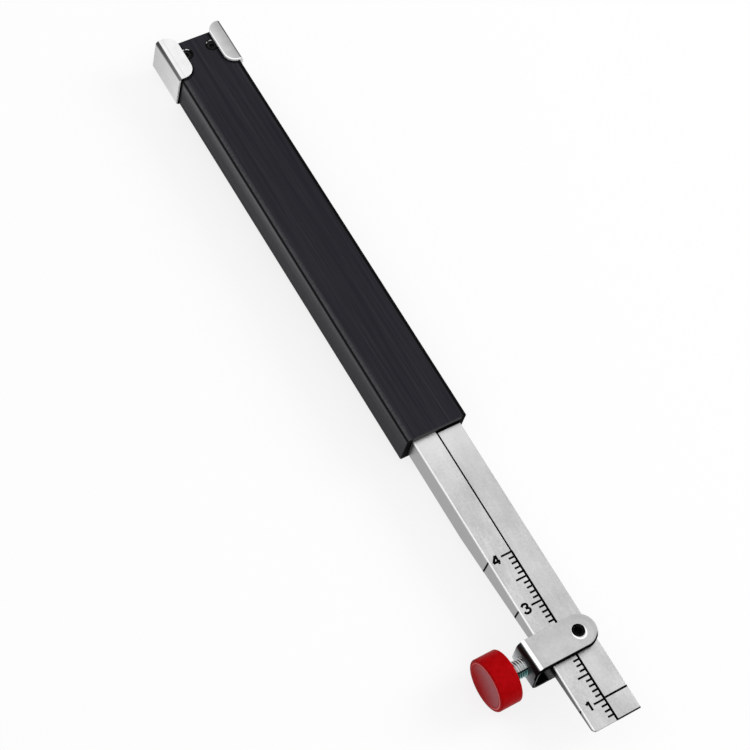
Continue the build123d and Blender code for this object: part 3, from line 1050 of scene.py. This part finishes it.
def knob_profile(length):
    """Distance along the axis from the outer face and radius, from the dish to the inner face."""
    edge = KNOB_EDGE * MM
    rim = knob_radius - KNOB_RIM * MM
    points = []
    for i in range(1, KNOB_DISH_STEPS + 1):
        share = i / KNOB_DISH_STEPS
        points.append((KNOB_DISH * MM * (1 - share ** 2), rim * share))
    for i in range(KNOB_EDGE_STEPS + 1):
        angle = math.pi / 2 * i / KNOB_EDGE_STEPS
        points.append((edge * (1 - math.cos(angle)), knob_radius - edge + edge * math.sin(angle)))
    for i in range(KNOB_EDGE_STEPS + 1):
        angle = math.pi / 2 * i / KNOB_EDGE_STEPS
        points.append((length - edge * (1 - math.sin(angle)), knob_radius - edge + edge * math.cos(angle)))
    points.append((length, screw_crest * KNOB_BORE_SHARE))
    return points


def add_knob():
    rows = []
    for along, radius in knob_profile(knob_high.x - knob_low.x):
        x = knob_low.x + along
        rows.append([circle_point(x, knob_middle, radius, k / KNOB_SIDES) for k in range(KNOB_SIDES)])
    knob = add_piece("knob", ring_mesh("knob", rows), red_plastic, "knob")
    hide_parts("thumb_knob")


add_scale_ink()
add_index_ink()
for number in FIGURES:
    add_figure(number)
add_thumb_screw()
add_knob()


# Camera, lights and floor

def add_camera():
    camera = bpy.data.objects.new("camera", bpy.data.cameras.new("camera"))
    bpy.context.scene.collection.objects.link(camera)
    backward = CAMERA_RIGHT.cross(CAMERA_UP)
    turn = Matrix((CAMERA_RIGHT, CAMERA_UP, backward)).transposed()
    camera.matrix_world = Matrix.Translation(CAMERA_PLACE) @ turn.to_4x4()
    camera.data.sensor_width = SENSOR
    camera.data.lens = FOCAL_PIXELS * SENSOR / IMAGE_PIXELS
    camera.data.clip_start = NEAREST_SEEN
    camera.data.clip_end = FURTHEST_SEEN
    bpy.context.scene.camera = camera


def add_area_light(name, place, size, watts):
    """A round lamp that shines on the middle of the gauge."""
    light = bpy.data.lights.new(name, "AREA")
    light.shape = "DISK"
    light.size = size
    light.energy = watts
    lamp = bpy.data.objects.new(name, light)
    bpy.context.scene.collection.objects.link(lamp)
    lamp.location = place
    lamp.rotation_euler = (LIT_POINT - Vector(place)).to_track_quat("-Z", "Y").to_euler()


def seen_directly(nodes):
    """1 for rays from the camera, a reflection or a clear material, and 0 for rays that gather light."""
    path = nodes.add("ShaderNodeLightPath").outputs
    return nodes.most(path["Is Camera Ray"], path["Is Glossy Ray"], path["Is Transmission Ray"])


WHITE = colour(1, 1, 1)
LIT_POINT = Vector((0.0, 0.0, 0.004))
RIGHT_LAMP = (0.72, -0.12, 0.5)
LEFT_LAMP = (-0.52, 0.30, 0.70)

# The floor's size, its own colour, and the share of plain white in it as the camera and the metal see
# it. The rest takes the shadow.
FLOOR_HALF = 3.0
FLOOR_COLOUR = colour(0.93, 0.93, 0.93)
FLOOR_WHITENING = 0.8

# The world's strength by height and by side: two heights or sides, and the strength at each
LIGHT_BY_HEIGHT = (0.08, 0.55, 0.05, 0.85)
LIGHT_BY_SIDE = (-0.9, 0.1, 0.75, 1.0)
BACKDROP_BY_HEIGHT = (0.0, 0.5, 0.78, 1.0)


def add_floor():
    half = FLOOR_HALF
    mesh = bpy.data.meshes.new("floor")
    corners = [(-half, -half, 0), (half, -half, 0), (half, half, 0), (-half, half, 0)]
    mesh.from_pydata(corners, [], [(0, 1, 2, 3)])
    floor = bpy.data.objects.new("floor", mesh)
    bpy.context.scene.collection.objects.link(floor)
    material = bpy.data.materials.new("floor")
    nodes = new_nodes(material)
    diffuse = nodes.add("ShaderNodeBsdfDiffuse", {"Color": FLOOR_COLOUR})
    white = nodes.add("ShaderNodeEmission", {"Color": WHITE, "Strength": 1.0})
    surface = nodes.add("ShaderNodeMixShader", {"Fac": nodes.both(seen_directly(nodes), FLOOR_WHITENING)})
    nodes.give(surface.inputs[1], diffuse.outputs["BSDF"])
    nodes.give(surface.inputs[2], white.outputs["Emission"])
    nodes.add("ShaderNodeOutputMaterial", {"Surface": surface.outputs["Shader"]})
    mesh.materials.append(material)


def set_world():
    world = bpy.data.worlds.new("world")
    nodes = new_nodes(world)
    direction = nodes.coordinate("Generated")
    height = nodes.part_of(direction, "Z")
    side = nodes.part_of(direction, "X")
    lighting = nodes.both(nodes.remap(height, *LIGHT_BY_HEIGHT), nodes.remap(side, *LIGHT_BY_SIDE))
    backdrop = nodes.remap(height, *BACKDROP_BY_HEIGHT)
    seen = seen_directly(nodes)
    strength = nodes.plus(nodes.both(lighting, nodes.without(seen)), nodes.both(backdrop, seen))
    background = nodes.add("ShaderNodeBackground", {"Color": WHITE, "Strength": strength})
    nodes.add("ShaderNodeOutputWorld", {"Surface": background.outputs["Background"]})
    bpy.context.scene.world = world


add_camera()
add_floor()
set_world()
add_area_light("right_light", RIGHT_LAMP, size=0.5, watts=3.6)
add_area_light("left_light", LEFT_LAMP, size=0.35, watts=0.6)
bpy.context.scene.view_settings.view_transform = "Standard"
